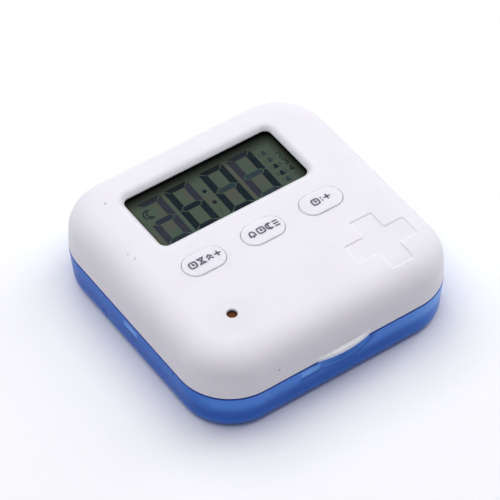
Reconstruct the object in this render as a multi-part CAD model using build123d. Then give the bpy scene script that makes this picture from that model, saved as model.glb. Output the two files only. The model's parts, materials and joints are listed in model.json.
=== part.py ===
from build123d import *
import os
from math import cos, radians, sin, tan

# Pocket pill box with an alarm timer in its hinged lid. Millimetres, +Z up, origin at the centre of
# the tray's underside. The hinge is at the rear (+Y) and the thumb tab at the front (-Y).

# overall form
width = 82.0
depth = 81.2
corner_radius = 15.7
lid_top = 25.5
parting = 12.6
parting_gap = 0.3
lip_round = 0.25
side_wall = 2.0
top_wall = 2.2

# shoulder of the lid: an elliptical arc from the wall to the flat top
shoulder_reach = 9.5
shoulder_drop = 7.5
lid_lean = 0.3

# tray
tray_lean = 0.7
foot_round = 3.1
tray_wall = 1.9
tray_floor = 2.0
divider_thickness = 1.6
divider_top = 11.4
pocket_draft = 2.0
pocket_corner = 4.0
pocket_foot = 2.4

# hinge
knuckle_radius = 1.9
pin_radius = 0.8
pin_play = 0.06
hinge_y = depth / 2 + 0.1
hinge_length = 40.0
knuckle_gap = 0.2
knuckle_relief = 0.35

# screw bosses under the lid's top
cover_boss_radius = 2.5
cover_boss_bore = 1.0
cover_boss_depth = 7.0
board_boss_radius = 1.8
board_boss_bore = 0.8
board_boss_depth = 3.2

# thumb tab and the scoop below it
tab_half_width = 8.4
tab_reach = 1.15
tab_thickness = 1.3
tab_edge = 0.25
scoop_half_width = 8.5
scoop_half_height = 4.6
scoop_depth = 1.6
scoop_wall = 1.5

# display window and the parts behind it
window_centre = (-0.45, 17.68)
window_size = (47.9, 20.65)
window_corner = 2.2
window_lip = 0.2
window_bevel = 0.75
window_roll_radius = 2.15
window_roll_angle = 45
glass_size = (54.0, 28.2)
glass_centre = (-0.35, 17.5)
glass_thickness = 0.7
contact_ledge = 3.4
film_thickness = 0.2
film_depth = 3.1
gasket_border = 2.1
connector_size = (48.0, 2.0)
frame_border = (1.8, 1.2)
frame_pin_radius = 0.7

# buttons
button_pitch = 18.95
button_y = -3.75
button_size = (12.8, 7.7)
button_gap = 0.12
button_proud = 0.4
button_edge = 0.35
button_crown_radius = 80.0
flange_size = (14.6, 9.4)
flange_thickness = 0.9
button_travel = 0.5
button_hole_edge = 0.15
post_radius = 1.3

# sound hole and buzzer
hole_place = (-23.2, -22.9)
hole_radius = 1.45
hole_wall = 0.75
hole_round = 0.45
buzzer_radius = 7.5
chamber_radius = 6.0
chamber_height = 0.2
brass_thickness = 0.2
ceramic_radius = 5.0
ceramic_thickness = 0.2
lead_radius = 0.4
lead_bend = 0.8

# sunk cross on the lid
cross_place = (23.9, -24.4)
cross_reach = 9.6
cross_arm = 6.9
cross_depth = 0.35
cross_corner = 0.4
cross_round = 0.25

# board
board_thickness = 1.2
board_underside = 18.3
board_size = (66.0, 46.4)
board_y = 11.3
board_corner = 2.0
board_screw_places = [(-31.0, 18.0), (31.0, 18.0), (-30.0, -8.6), (30.0, -8.6)]

# tact switches on the board
switch_size = 5.0
switch_height = 1.6
stem_radius = 1.05
stem_rise = 2.1
well_rise = 0.4

# inner cover, battery bay and door
cover_thickness = 1.6
cover_play = 0.15
skirt_inset = 2.5
skirt_thickness = 1.2
skirt_foot = 9.2
cover_screw_places = [(sx * 32.2, sy * 31.8) for sx in (-1, 1) for sy in (-1, 1)]
pad_radius = 3.4
pad_height = 1.0
head_recess = 1.3
cell_radius = 5.8
cell_height = 5.4
can_height = 4.6
cell_cap_radius = 4.4
cell_spacing = 12.2
bay_centre = (14.7, -21.5)
bay_wall = 1.2
bay_play = 0.35
door_thickness = 1.2
door_border = 1.4
door_play = 0.1
door_travel = 4.5
tongue_length = 3.0
tongue_reach = 0.8
tongue_thickness = 0.5
bridge_thickness = 0.3
contact_width = 3.6
leaf_thickness = 0.2

# levels that follow from the sizes above
lid_foot = parting + parting_gap / 2
tray_rim = parting - parting_gap / 2
lid_ceiling = lid_top - top_wall
board_top = board_underside + board_thickness
window_roll_depth = window_roll_radius * (1 - cos(radians(window_roll_angle)))
lip_top = lid_top - window_roll_depth - window_bevel
gasket_top = lip_top - window_lip
film_top = lid_top - film_depth
front_glass_top = film_top - film_thickness
rear_glass_top = front_glass_top - glass_thickness
reflector_top = rear_glass_top - glass_thickness
cover_foot = lid_foot + 0.1
cover_top = cover_foot + cover_thickness
door_foot = cover_foot
door_top = door_foot + door_thickness
cell_top = door_top + cell_height
tub_top = cell_top + 2.0
stem_top = board_top + stem_rise
well_floor = board_top + well_rise
brass_top = lid_top - hole_wall - chamber_height
brass_low = brass_top - brass_thickness
ceramic_low = brass_low - ceramic_thickness
run_x = width / 2 - corner_radius
run_y = depth / 2 - corner_radius


def edge_section(reach, low, high, lean, round_x, round_z, lip=0.0):
    # Half section of a lid or tray wall in the XZ plane. x counts outward from the corner's centre,
    # and the wall leans in towards an elliptical shoulder under the flat top.
    wall = reach - lean
    shoulder_foot = high - round_z
    edges = [Line((0, low), (reach - lip, low))]
    if lip:
        edges.append(CenterArc((reach - lip, low + lip), lip, -90, 90))
    edges.append(Line((reach, low + lip), (wall, shoulder_foot)))
    edges.append(EllipticalCenterArc((wall - round_x, shoulder_foot), round_x, round_z, 0, arc_size=90))
    edges.append(Line((wall - round_x, high), (0, high)))
    edges.append(Line((0, high), (0, low)))
    return Plane.XZ * make_face(edges)


def rounded_block(section, half_x=run_x, half_y=run_y):
    # Carries a half section round the rectangle: four straight runs, four turned corners and the
    # block between them.
    box = section.bounding_box()
    corner = revolve(section, Axis.Z, 90)
    side = extrude(section, half_y, both=True)
    front = Rot(0, 0, -90) * extrude(section, half_x, both=True)
    middle = Pos(0, 0, (box.min.Z + box.max.Z) / 2) * Box(2 * half_x, 2 * half_y, box.size.Z)
    body = Part() + middle
    for turn in (0, 180):
        body += Rot(0, 0, turn) * Pos(half_x, 0, 0) * side
        body += Rot(0, 0, turn) * Pos(0, -half_y, 0) * front
        body += Rot(0, 0, turn) * Pos(half_x, half_y, 0) * corner
        body += Rot(0, 0, turn) * Pos(-half_x, half_y, 0) * Rot(0, 0, 90) * corner
    return body


def prism(sketch, low, high):
    return Pos(0, 0, low) * extrude(sketch, high - low)


def block(low, high):
    size = [b - a for a, b in zip(low, high)]
    return Pos(*low) * Box(*size, align=(Align.MIN, Align.MIN, Align.MIN))


def rod(radius, low, high, place=(0, 0)):
    upright = Cylinder(radius, high - low, align=(Align.CENTER, Align.CENTER, Align.MIN))
    return Pos(place[0], place[1], low) * upright


def cross_rod(radius, start, end, y, z):
    # round bar along X
    return Pos((start + end) / 2, y, z) * Rot(0, 90, 0) * Cylinder(radius, end - start)


def plate_outline(reach):
    # rounded rectangle that stands `reach` outside the corner centres
    return RectangleRounded(2 * (run_x + reach), 2 * (run_y + reach), reach)


def lid_body(inset=0.0):
    # the lid's outer form, or the same form drawn in by an even amount
    reach = corner_radius - inset
    return rounded_block(edge_section(reach, lid_foot, lid_top - inset, lid_lean,
                                      shoulder_reach - inset / 2, shoulder_drop - inset / 2,
                                      lip_round if inset == 0 else 0.0))


def lid_hollow():
    reach = corner_radius - side_wall
    return rounded_block(edge_section(reach, lid_foot - 1, lid_ceiling, lid_lean,
                                      shoulder_reach - side_wall, shoulder_drop - side_wall))


def knuckle_spans():
    # five knuckles share the barrel: the tray has the outer two and the middle one
    pitch = hinge_length / 5
    edges = [-hinge_length / 2 + pitch * k for k in range(6)]
    spans = [(a + knuckle_gap / 2, b - knuckle_gap / 2) for a, b in zip(edges, edges[1:])]
    return spans[0::2], spans[1::2]


def add_knuckles(body, spans, bore):
    # fuses the barrel's knuckles to the wall and bores them, with the wall, for the pin
    for start, end in spans:
        body += cross_rod(knuckle_radius, start, end, hinge_y, parting)
    return body - cross_rod(bore, -hinge_length / 2, hinge_length / 2, hinge_y, parting)


def knuckle_notches(spans):
    notches = Part()
    for start, end in spans:
        notches += cross_rod(knuckle_radius + knuckle_relief, start - knuckle_gap, end + knuckle_gap,
                             hinge_y, parting)
    return notches


def scoop_barrel(extra=0.0):
    # the thumb scoop is cut by a barrel that lies along X: an arc turned about an axis in front of the wall
    wall_y = -depth / 2
    turn_radius = (scoop_half_height ** 2 + scoop_depth ** 2) / (2 * scoop_depth)
    axis_y = wall_y + scoop_depth - turn_radius
    left = (-scoop_half_width - extra, wall_y)
    right = (scoop_half_width + extra, wall_y)
    bow = ThreePointArc(left, (0, wall_y + scoop_depth + extra), right)
    sides = Polyline(right, (right[0], axis_y), (left[0], axis_y), left)
    section = Pos(0, 0, parting) * make_face([bow, sides])
    return revolve(section, Axis((0, axis_y, parting), (1, 0, 0)), 360)


def base_tray():
    outer = edge_section(corner_radius, -tray_rim, 0, tray_lean, foot_round, foot_round, lip_round)
    outer = rounded_block(mirror(outer, Plane.XY))
    tray = outer
    inner_reach = corner_radius - tray_wall
    quarter = Rectangle(width, depth, align=(Align.MIN, Align.MIN))
    quarter = Pos(divider_thickness / 2, divider_thickness / 2) * quarter
    pocket_plan = plate_outline(inner_reach) & quarter
    sharp = pocket_plan.vertices().sort_by(lambda v: v.X + v.Y)[0]
    pocket_plan = fillet(sharp, pocket_corner)
    pocket = Pos(0, 0, tray_rim) * extrude(pocket_plan, -(tray_rim - tray_floor), taper=pocket_draft)
    pocket = fillet(pocket.faces().sort_by(Axis.Z)[0].edges(), pocket_foot)
    pockets = Part() + pocket
    pockets += mirror(pocket, Plane.YZ)
    pockets += mirror(pockets, Plane.XZ)
    tray -= pockets
    # the dividers stop short of the rim
    tray -= prism(plate_outline(inner_reach), divider_top, parting + 1)
    # the wall bulges inward behind the scoop
    tray += outer & scoop_barrel(scoop_wall) & block((-width, -depth, tray_floor), (width, 0, tray_rim))
    tray -= scoop_barrel()
    tray_spans, lid_spans = knuckle_spans()
    tray -= knuckle_notches(lid_spans)
    return add_knuckles(tray, tray_spans, pin_radius)


def hinge_pin():
    half = hinge_length / 2 - 0.3
    return cross_rod(pin_radius, -half, half, hinge_y, parting)


def thumb_tab():
    # shelf on the lid's front edge, its rim an arc that runs out of the wall and back into it
    wall_y = -depth / 2
    left = (-tab_half_width, wall_y)
    right = (tab_half_width, wall_y)
    rim = ThreePointArc(left, (0, wall_y - tab_reach), right)
    root = Polyline(right, (right[0], wall_y + 1), (left[0], wall_y + 1), left)
    shelf = prism(make_face([rim, root]), lid_foot, lid_foot + tab_thickness)
    upper_rim = shelf.faces().sort_by(Axis.Z)[-1].edges().sort_by(Axis.Y)[0]
    return fillet(upper_rim, tab_edge)


def boss(place, radius, bore, low, bore_depth):
    post = rod(radius, low, lid_ceiling + 0.3, place)
    return post - rod(bore, low, low + bore_depth, place)


def cross_prism():
    arms = Rectangle(2 * cross_reach, cross_arm) + Rectangle(cross_arm, 2 * cross_reach)
    arms = fillet(arms.vertices(), cross_corner)
    return prism(Pos(*cross_place) * arms, lid_ceiling, lid_top + 1)


def button_places():
    return [(k * button_pitch, button_y) for k in (-1, 0, 1)]


def window_opening():
    # the window's cutter: straight through the lip, out along a bevel, then an arc that rolls onto the flat top
    roll = window_roll_radius
    slope = radians(window_roll_angle)
    centre_x = window_corner + window_bevel / tan(slope) + roll * sin(slope)
    low, high = lid_ceiling - 1, lid_top + 1
    arc = CenterArc((centre_x, lid_top - roll), roll, 91, window_roll_angle - 1)
    inner = [(window_corner, lip_top), (window_corner, low), (0, low), (0, high)]
    sides = Polyline(arc @ 1, *inner, (centre_x, high), arc @ 0)
    section = Plane.XZ * make_face([arc, sides])
    half_x, half_y = (size / 2 - window_corner for size in window_size)
    return Pos(*window_centre) * rounded_block(section, half_x, half_y)


def gasket_plan(margin=0.0):
    grow = 2 * (gasket_border + margin)
    return Pos(*window_centre) * RectangleRounded(window_size[0] + grow, window_size[1] + grow, window_corner)


def round_cross_rim(body):
    # rounds the rim of the sunk cross: the upper edges of its upright walls
    x, y = cross_place
    reach = cross_reach + 0.1
    walls = [f for f in body.faces().filter_by(GeomType.PLANE)
             if abs(f.center().X - x) < reach and abs(f.center().Y - y) < reach
             and f.center().Z > lid_top - 1.2 and abs(f.normal_at().Z) < 0.01]
    rim = [e for wall in walls for e in wall.edges()
           if e.center().Z > wall.center().Z + 0.02 and abs(e.tangent_at(0.5).Z) < 0.7]
    return fillet(rim, cross_round)


def soft_cut(body, plan, centre, size, radius):
    # cuts an opening through the lid's top and rounds its upper rim
    body -= prism(plan, lid_ceiling - 1, lid_top + 1)
    rim = [e for e in body.edges().filter_by_position(Axis.Z, lid_top - 0.01, lid_top + 0.01)
           if abs(e.center().X - centre[0]) < size[0] / 2 + 0.1
           and abs(e.center().Y - centre[1]) < size[1] / 2 + 0.1]
    return fillet(rim, radius)


def lid_shell():
    shell = lid_body() - lid_hollow()
    # sunk cross of even depth, also over the shoulder
    shell -= cross_prism() - lid_body(cross_depth)
    shell = round_cross_rim(shell)
    # window, and the seat of the black gasket under its lip
    shell -= window_opening()
    shell -= prism(gasket_plan(0.2), lid_ceiling - 1, gasket_top)
    hole_size = [s + 2 * button_gap for s in button_size]
    for place in button_places():
        hole = Pos(*place) * SlotOverall(*hole_size)
        shell = soft_cut(shell, hole, place, hole_size, button_hole_edge)
    # sound hole over the buzzer's chamber, and the seat that the disc is glued in
    sound_hole = Pos(*hole_place) * Circle(hole_radius)
    shell = soft_cut(shell, sound_hole, hole_place, (2 * hole_radius, 2 * hole_radius), hole_round)
    shell -= rod(buzzer_radius + 0.2, lid_ceiling - 1, brass_top, hole_place)
    shell -= rod(chamber_radius, lid_ceiling - 1, lid_top - hole_wall, hole_place)
    # bosses for the cover and the board
    for place in cover_screw_places:
        shell += boss(place, cover_boss_radius, cover_boss_bore, cover_top + pad_height, cover_boss_depth)
    for place in board_screw_places:
        shell += boss(place, board_boss_radius, board_boss_bore, board_top, board_boss_depth)
    tray_spans, lid_spans = knuckle_spans()
    shell -= knuckle_notches(tray_spans)
    shell = add_knuckles(shell, lid_spans, pin_radius + pin_play)
    return shell + thumb_tab()


def lcd_gasket():
    length, height = window_size
    inner = Pos(*window_centre) * RectangleRounded(length + 0.4, height + 0.4, window_corner)
    return prism(gasket_plan() - inner, film_top, gasket_top)


def glass_plan(front_trim=0.0, margin=0.0):
    # plan of a display layer whose front edge is cut back
    height = glass_size[1] - front_trim
    centre = Pos(glass_centre[0], glass_centre[1] + front_trim / 2)
    return centre * Rectangle(glass_size[0] - 2 * margin, height - 2 * margin)


def lcd_polariser():
    return prism(glass_plan(margin=0.6), front_glass_top, film_top)


def lcd_glass():
    front_plate = prism(glass_plan(), rear_glass_top, front_glass_top)
    return front_plate + prism(glass_plan(contact_ledge), reflector_top, rear_glass_top)


def lcd_reflector():
    return prism(glass_plan(contact_ledge, 0.4), reflector_top - film_thickness, reflector_top)


def lcd_frame():
    seat = reflector_top - film_thickness
    length = glass_size[0] + 2 * frame_border[0]
    height = glass_size[1] + 2 * frame_border[1]
    outer = Pos(*glass_centre) * RectangleRounded(length, height, 1.5)
    frame = prism(outer, board_top, front_glass_top - 0.1)
    frame -= prism(glass_plan(margin=-0.1), seat, lid_top)
    # light well behind the reflector, and the slot that the connector strip stands in
    frame -= prism(glass_plan(contact_ledge, 3.0), board_top - 1, lid_top)
    frame -= prism(zebra_plan(0.1), board_top - 1, lid_top)
    for side in (-1, 1):
        frame += rod(frame_pin_radius, board_underside + 0.2, board_top + 0.5, frame_pin_place(side))
    return frame


def frame_pin_place(side):
    return (glass_centre[0] + side * (glass_size[0] + frame_border[0] + 0.1) / 2, glass_centre[1])


def zebra_plan(margin=0.0):
    y = glass_centre[1] - glass_size[1] / 2 + contact_ledge / 2
    length, height = connector_size
    return Pos(glass_centre[0], y) * Rectangle(length + 2 * margin, height + 2 * margin)


def zebra_strip():
    return prism(zebra_plan(), board_top, rear_glass_top)


def circuit_board():
    board = prism(Pos(0, board_y) * RectangleRounded(*board_size, board_corner), board_underside, board_top)
    # corner notches for the cover's bosses, screw holes and the frame's pin holes
    holes = [(cover_boss_radius + 0.9, place) for place in cover_screw_places]
    holes += [(board_boss_bore + 0.15, place) for place in board_screw_places]
    holes += [(frame_pin_radius + 0.05, frame_pin_place(side)) for side in (-1, 1)]
    for radius, place in holes:
        board -= rod(radius, board_underside - 1, board_top + 1, place)
    return board


def button_cap(place):
    cap_top = lid_top + button_proud
    cap = prism(SlotOverall(*button_size), lid_ceiling - 0.2, cap_top)
    cap &= Pos(0, 0, cap_top - button_crown_radius) * Sphere(button_crown_radius)
    cap = fillet(cap.faces().sort_by(Axis.Z)[-1].edges(), button_edge)
    flange_top = lid_ceiling - 0.1
    cap += prism(SlotOverall(*flange_size), flange_top - flange_thickness, flange_top)
    # post that rests on the switch's stem
    cap += rod(post_radius, stem_top, flange_top - flange_thickness + 0.1)
    return Pos(*place) * cap


def switch_housings():
    # three tact switches on the board, each with a round well for its stem
    housings = Part()
    for place in button_places():
        housing = prism(RectangleRounded(switch_size, switch_size, 0.6), board_top, board_top + switch_height)
        housing -= rod(stem_radius + 0.08, well_floor, board_top + 5)
        housings += Pos(*place) * housing
    return housings


def switch_stem(place):
    return rod(stem_radius, well_floor + button_travel + 0.15, stem_top, place)


def buzzer_disc():
    return rod(buzzer_radius, brass_low, brass_top, hole_place)


def buzzer_ceramic():
    return rod(ceramic_radius, ceramic_low, brass_low, hole_place)


def lead(start, landing):
    # insulated wire: down from the buzzer, across, and down again to the board
    drop = lid_ceiling - 1.9
    points = [start, (start[0], start[1], drop), (landing[0], landing[1], drop), landing]
    path = FilletPolyline(*points, radius=lead_bend)
    return sweep(Plane(origin=start, z_dir=(0, 0, -1)) * Circle(lead_radius), path)


def buzzer_leads():
    # one from the ceramic and one from the brass rim
    x, y = hole_place
    landing_y = board_y - board_size[1] / 2 + 1.5
    from_ceramic = lead((x - 2, y + 3, ceramic_low), (x - 3.2, landing_y, board_top))
    from_brass = lead((x + 2.2, y + 6.2, brass_low), (x + 1.4, landing_y, board_top))
    return Part() + [from_ceramic, from_brass]


def cell_places():
    return [(bay_centre[0] + side * cell_spacing / 2, bay_centre[1]) for side in (-1, 1)]


def bay_plan(margin):
    height = 2 * (cell_radius + margin)
    return Pos(*bay_centre) * RectangleRounded(cell_spacing + height, height, 1.0 + margin)


def door_plan(margin=0.0, extra=0.0):
    # the door's outline, grown by a margin, and by `extra` towards the front for its travel
    height = 2 * (cell_radius + bay_play + door_border + margin)
    length = cell_spacing + height
    centre = Pos(bay_centre[0], bay_centre[1] - extra / 2)
    return centre * RectangleRounded(length, height + extra, 1.2)


def tongue_boxes(low, high, back, front, reach):
    # bars across the door whose ends stand out of its short sides as two pairs of tongues
    half = cell_spacing / 2 + cell_radius + bay_play + door_border + reach
    x = bay_centre[0]
    boxes = Part()
    for offset in (-5.5, 2.5):
        y = bay_centre[1] + offset
        boxes += block((x - half, y - front, low), (x + half, y + tongue_length + back, high))
    return boxes


def lid_inner_cover():
    reach = corner_radius - side_wall - cover_play
    plate = prism(plate_outline(reach), cover_foot, cover_top)
    # skirt that dips inside the tray's wall, notched for the dividers and the scoop
    skirt_reach = corner_radius - skirt_inset
    skirt_plan = plate_outline(skirt_reach) - plate_outline(skirt_reach - skirt_thickness)
    skirt = prism(skirt_plan, skirt_foot, cover_foot)
    slot = divider_thickness / 2 + 0.6
    skirt -= block((-slot, -depth, 0), (slot, depth, cover_foot))
    skirt -= block((-width, -slot, 0), (width, slot, cover_foot))
    skirt -= block((-scoop_half_width - 2, -depth, 0), (scoop_half_width + 2, 0, cover_foot))
    cover = plate + skirt
    # thicker pads at the screws and round the battery bay
    for place in cover_screw_places:
        pad = rod(pad_radius, cover_top, cover_top + pad_height, place)
        cover += pad & prism(plate_outline(reach), cover_foot, lid_top)
    cover += prism(door_plan(door_border, door_travel), cover_top, cover_top + pad_height)
    # tub over the cells
    cover += prism(bay_plan(bay_play + bay_wall), cover_top, tub_top)
    cover -= prism(bay_plan(bay_play), cover_foot - 1, cell_top + 1.0)
    # recess for the door, long enough for it to slide free
    cover -= prism(door_plan(door_play, door_travel), cover_foot - 1, door_top + door_play)
    # grooves for the door's tongues, and notches that let them out
    tongue_low = door_top - tongue_thickness
    cover -= tongue_boxes(tongue_low - 0.1, door_top + door_play, 0.1, door_travel + 0.1, tongue_reach + 0.1)
    cover -= tongue_boxes(cover_foot - 1, door_top + door_play, 0.1 - door_travel, door_travel + 0.1,
                          tongue_reach + 0.1)
    # slots for the contacts' tails, open to the tub's roof
    rear = bay_centre[1] + cell_radius + bay_play
    half = contact_width / 2 + 0.4
    for x, y in cell_places():
        cover -= block((x - half, rear - 2.0, board_top - 0.1), (x + half, rear + bay_wall + 1, tub_top + 1))
    # screw holes with recesses for the heads
    for place in cover_screw_places:
        cover -= rod(cover_boss_bore + 0.2, cover_foot - 1, lid_top, place)
        cover -= rod(cover_boss_bore + 1.2, cover_foot - 1, cover_foot + head_recess, place)
    return cover


def bridge_plan():
    return Pos(*bay_centre) * RectangleRounded(cell_spacing + 8.0, 6.0, 1.0)


def battery_door():
    door = prism(door_plan(), door_foot, door_top)
    door += tongue_boxes(door_top - tongue_thickness, door_top, 0.0, 0.0, tongue_reach)
    door -= prism(bridge_plan(), door_top - bridge_thickness, door_top + 1)
    # grip ridges at the rear edge
    x = bay_centre[0]
    for row in range(3):
        y = bay_centre[1] + 5.4 - row * 1.6
        door += block((x - 5, y - 0.4, door_foot - 0.4), (x + 5, y + 0.4, door_foot + 0.2))
    return door


def battery_bridge():
    return prism(bridge_plan(), door_top - bridge_thickness, door_top)


def button_cells():
    # a can with a smaller raised cap on its negative end; the pair lies head to tail
    cap_up, cap_down = cell_places()
    cells = rod(cell_radius, door_top, door_top + can_height, cap_up)
    cells += rod(cell_cap_radius, door_top + can_height, cell_top, cap_up)
    cells += rod(cell_radius, cell_top - can_height, cell_top, cap_down)
    cells += rod(cell_cap_radius, door_top, cell_top - can_height, cap_down)
    return cells


def battery_contact(place):
    # leaf that presses on the cell and lies on the board's front edge
    x, y = place
    board_front = board_y - board_size[1] / 2
    line = [(y - 2.5, cell_top + 0.5), (y - 1.2, cell_top), (y + 1.2, cell_top),
            (y + 4.2, board_top), (board_front + 2.4, board_top)]
    upper = [(a, b + leaf_thickness) for a, b in reversed(line)]
    strip = make_face(Polyline(*line, *upper, close=True))
    return extrude(Plane.YZ.offset(x - contact_width / 2) * strip, contact_width)


def screws(places, shank_radius, seat, length):
    # pan heads below the seat, shanks above it
    head_radius = 1.9 * shank_radius
    head_height = 1.1 * shank_radius
    heads = [rod(head_radius, seat - head_height, seat, place) for place in places]
    shanks = [rod(shank_radius, seat, seat + length, place) for place in places]
    return Part() + heads + shanks


def cover_screws():
    return screws(cover_screw_places, cover_boss_bore, cover_foot + head_recess, 7.2)


def board_screws():
    return screws(board_screw_places, board_boss_bore, board_underside, 4.0)


def controller_blob():
    # cap of a ball under the board
    rise = 1.1
    spread = 4.5
    ball = (spread ** 2 + rise ** 2) / (2 * rise)
    drop = Pos(0, 14, board_underside - rise + ball) * Sphere(ball)
    return drop & block((-10, 0, board_underside - 3), (10, 30, board_underside))


def timing_crystal():
    # watch crystal in a round can, lying against the board
    radius = 1.0
    return cross_rod(radius, 11.0, 17.0, 4.0, board_underside - radius)


def board_parts():
    # a row of small components in front of the controller
    length, height, thickness, pitch = 2.0, 1.2, 0.6, 4.0
    parts = Part()
    for k in range(5):
        corner = Pos(-14 + pitch * k, 1.0, board_underside - thickness)
        parts += corner * block((0, 0, 0), (length, height, thickness))
    return parts


names = ("hour", "mode", "minute")
pieces = {
    "base_tray": base_tray(),
    "hinge_pin": hinge_pin(),
    "lid_shell": lid_shell(),
    "lcd_gasket": lcd_gasket(),
    "lcd_polariser": lcd_polariser(),
    "lcd_glass": lcd_glass(),
    "lcd_reflector": lcd_reflector(),
    "lcd_frame": lcd_frame(),
    "zebra_strip": zebra_strip(),
    "circuit_board": circuit_board(),
    "switch_housings": switch_housings(),
    "controller_blob": controller_blob(),
    "timing_crystal": timing_crystal(),
    "board_parts": board_parts(),
    "board_screws": board_screws(),
    "buzzer_disc": buzzer_disc(),
    "buzzer_ceramic": buzzer_ceramic(),
    "buzzer_leads": buzzer_leads(),
    "lid_inner_cover": lid_inner_cover(),
    "cover_screws": cover_screws(),
    "battery_door": battery_door(),
    "battery_bridge": battery_bridge(),
    "button_cells": button_cells(),
    "battery_contact_negative": battery_contact(cell_places()[0]),
    "battery_contact_positive": battery_contact(cell_places()[1]),
}
for name, place in zip(names, button_places()):
    pieces[name + "_button"] = button_cap(place)
    pieces[name + "_switch_stem"] = switch_stem(place)

os.makedirs("parts", exist_ok=True)
for name, shape in pieces.items():
    export_step(shape, "parts/" + name + ".step")
    print(name, "solids", len(shape.solids()), "volume", round(shape.volume, 1))
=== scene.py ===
import json
import math
import bpy
import numpy as np
from mathutils import Matrix, Vector


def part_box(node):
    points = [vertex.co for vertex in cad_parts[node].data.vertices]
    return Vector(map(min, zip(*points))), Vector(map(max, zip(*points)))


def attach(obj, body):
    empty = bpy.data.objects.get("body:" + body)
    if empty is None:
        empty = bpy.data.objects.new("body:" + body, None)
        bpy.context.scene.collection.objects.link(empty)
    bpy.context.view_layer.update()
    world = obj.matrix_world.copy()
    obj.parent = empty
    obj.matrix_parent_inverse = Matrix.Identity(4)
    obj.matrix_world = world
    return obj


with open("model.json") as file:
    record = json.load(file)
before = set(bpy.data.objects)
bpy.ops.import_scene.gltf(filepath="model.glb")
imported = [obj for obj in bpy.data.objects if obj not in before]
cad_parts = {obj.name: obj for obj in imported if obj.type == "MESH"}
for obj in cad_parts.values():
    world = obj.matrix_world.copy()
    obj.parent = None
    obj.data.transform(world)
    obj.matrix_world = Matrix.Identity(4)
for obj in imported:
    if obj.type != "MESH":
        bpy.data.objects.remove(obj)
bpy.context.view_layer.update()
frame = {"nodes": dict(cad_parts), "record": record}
cadNodes = frame["nodes"]
mm = 0.001
print("frame loaded:", len(cadNodes), "nodes")


def meshPiece(name, parts, body, material):
    # joins parts of (vertices, faces) into one piece that rides on a body
    vertices, faces, offset = [], [], 0
    for partVertices, partFaces in parts:
        vertices.append(np.asarray(partVertices, float))
        faces += [tuple(int(i) + offset for i in face) for face in partFaces]
        offset += len(partVertices)
    mesh = bpy.data.meshes.new(name)
    mesh.from_pydata(np.concatenate(vertices).tolist(), [], faces)
    mesh.update()
    piece = bpy.data.objects.new(name, mesh)
    bpy.context.scene.collection.objects.link(piece)
    mesh.materials.append(material)
    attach(piece, body)
    return piece


def slab(outline, low, high):
    # flat plate: an outline in XY, anticlockwise, between two heights
    outline = np.asarray(outline, float)
    count = len(outline)
    bottom = np.column_stack([outline, np.full(count, low)])
    top = np.column_stack([outline, np.full(count, high)])
    ring = np.arange(count)
    following = np.roll(ring, -1)
    sides = np.column_stack([ring, following, following + count, ring + count])
    faces = [tuple(ring[::-1]), tuple(ring + count)] + [tuple(side) for side in sides]
    return np.concatenate([bottom, top]), faces


def ribbon(path, width, low, high, closed=False):
    # flat strip of even width along a path: each side is the path moved along its mitred normal
    path = np.asarray(path, float)
    before = path - np.roll(path, 1, axis=0)
    after = np.roll(path, -1, axis=0) - path
    if not closed:
        before[0] = after[0]
        after[-1] = before[-1]
    before /= np.linalg.norm(before, axis=1)[:, None]
    after /= np.linalg.norm(after, axis=1)[:, None]
    tangent = before + after
    tangent /= np.linalg.norm(tangent, axis=1)[:, None]
    normal = np.column_stack([-tangent[:, 1], tangent[:, 0]])
    mitreFloor = 0.4  # a sharp corner reaches out by 2.5 half widths at most
    reach = width / 2 / np.maximum(np.sum(tangent * after, axis=1), mitreFloor)
    left = path + normal * reach[:, None]
    right = path - normal * reach[:, None]
    count = len(path)
    rings = [np.column_stack([side, np.full(count, level)])
             for side, level in ((left, low), (right, low), (right, high), (left, high))]
    vertices = np.stack(rings, axis=1).reshape(-1, 3)
    start = np.arange(count if closed else count - 1)
    end = (start + 1) % count
    faces = []
    for k in range(4):
        following = (k + 1) % 4
        quads = np.column_stack([start * 4 + k, end * 4 + k, end * 4 + following, start * 4 + following])
        faces += [tuple(quad) for quad in quads]
    if not closed:
        last = 4 * (count - 1)
        faces += [(0, 1, 2, 3), (last + 3, last + 2, last + 1, last)]
    return vertices, faces


def arc(centre, radius, start, end, steps):
    # points on a circle, angles in degrees
    angles = np.radians(np.linspace(start, end, steps))
    return np.column_stack([centre[0] + radius * np.cos(angles), centre[1] + radius * np.sin(angles)])


def addNode(tree, kind, links=None, **settings):
    # settings name either a node property or an input socket, links feed inputs from other sockets
    node = tree.nodes.new(kind)
    for key, value in settings.items():
        if hasattr(node, key):
            setattr(node, key, value)
        else:
            node.inputs[key.replace("_", " ")].default_value = value
    for key, source in (links or {}).items():
        tree.links.new(source, node.inputs[key])
    return node


def newGroup(name, inputs, outputs):
    # node group with named sockets: inputs are name and starting value, None for a vector
    tree = bpy.data.node_groups.new(name, "ShaderNodeTree")
    for socketName, value in inputs.items():
        kind = "NodeSocketVector" if value is None else "NodeSocketFloat"
        socket = tree.interface.new_socket(name=socketName, in_out="INPUT", socket_type=kind)
        if value is not None:
            socket.default_value = value
    for socketName in outputs:
        tree.interface.new_socket(name=socketName, in_out="OUTPUT", socket_type="NodeSocketFloat")
    return tree, tree.nodes.new("NodeGroupInput").outputs, tree.nodes.new("NodeGroupOutput").inputs


def useGroup(tree, group, vector, **values):
    # places a node group with its own values, fed with the coordinates
    node = tree.nodes.new("ShaderNodeGroup")
    node.node_tree = group
    tree.links.new(vector, node.inputs["Vector"])
    for key, value in values.items():
        node.inputs[key].default_value = value
    return node.outputs


def maths(tree, operation, *values):
    # values are numbers or sockets
    node = addNode(tree, "ShaderNodeMath", operation=operation)
    for socket, value in zip(node.inputs, values):
        if isinstance(value, bpy.types.NodeSocket):
            tree.links.new(value, socket)
        else:
            socket.default_value = value
    return node.outputs[0]


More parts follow.
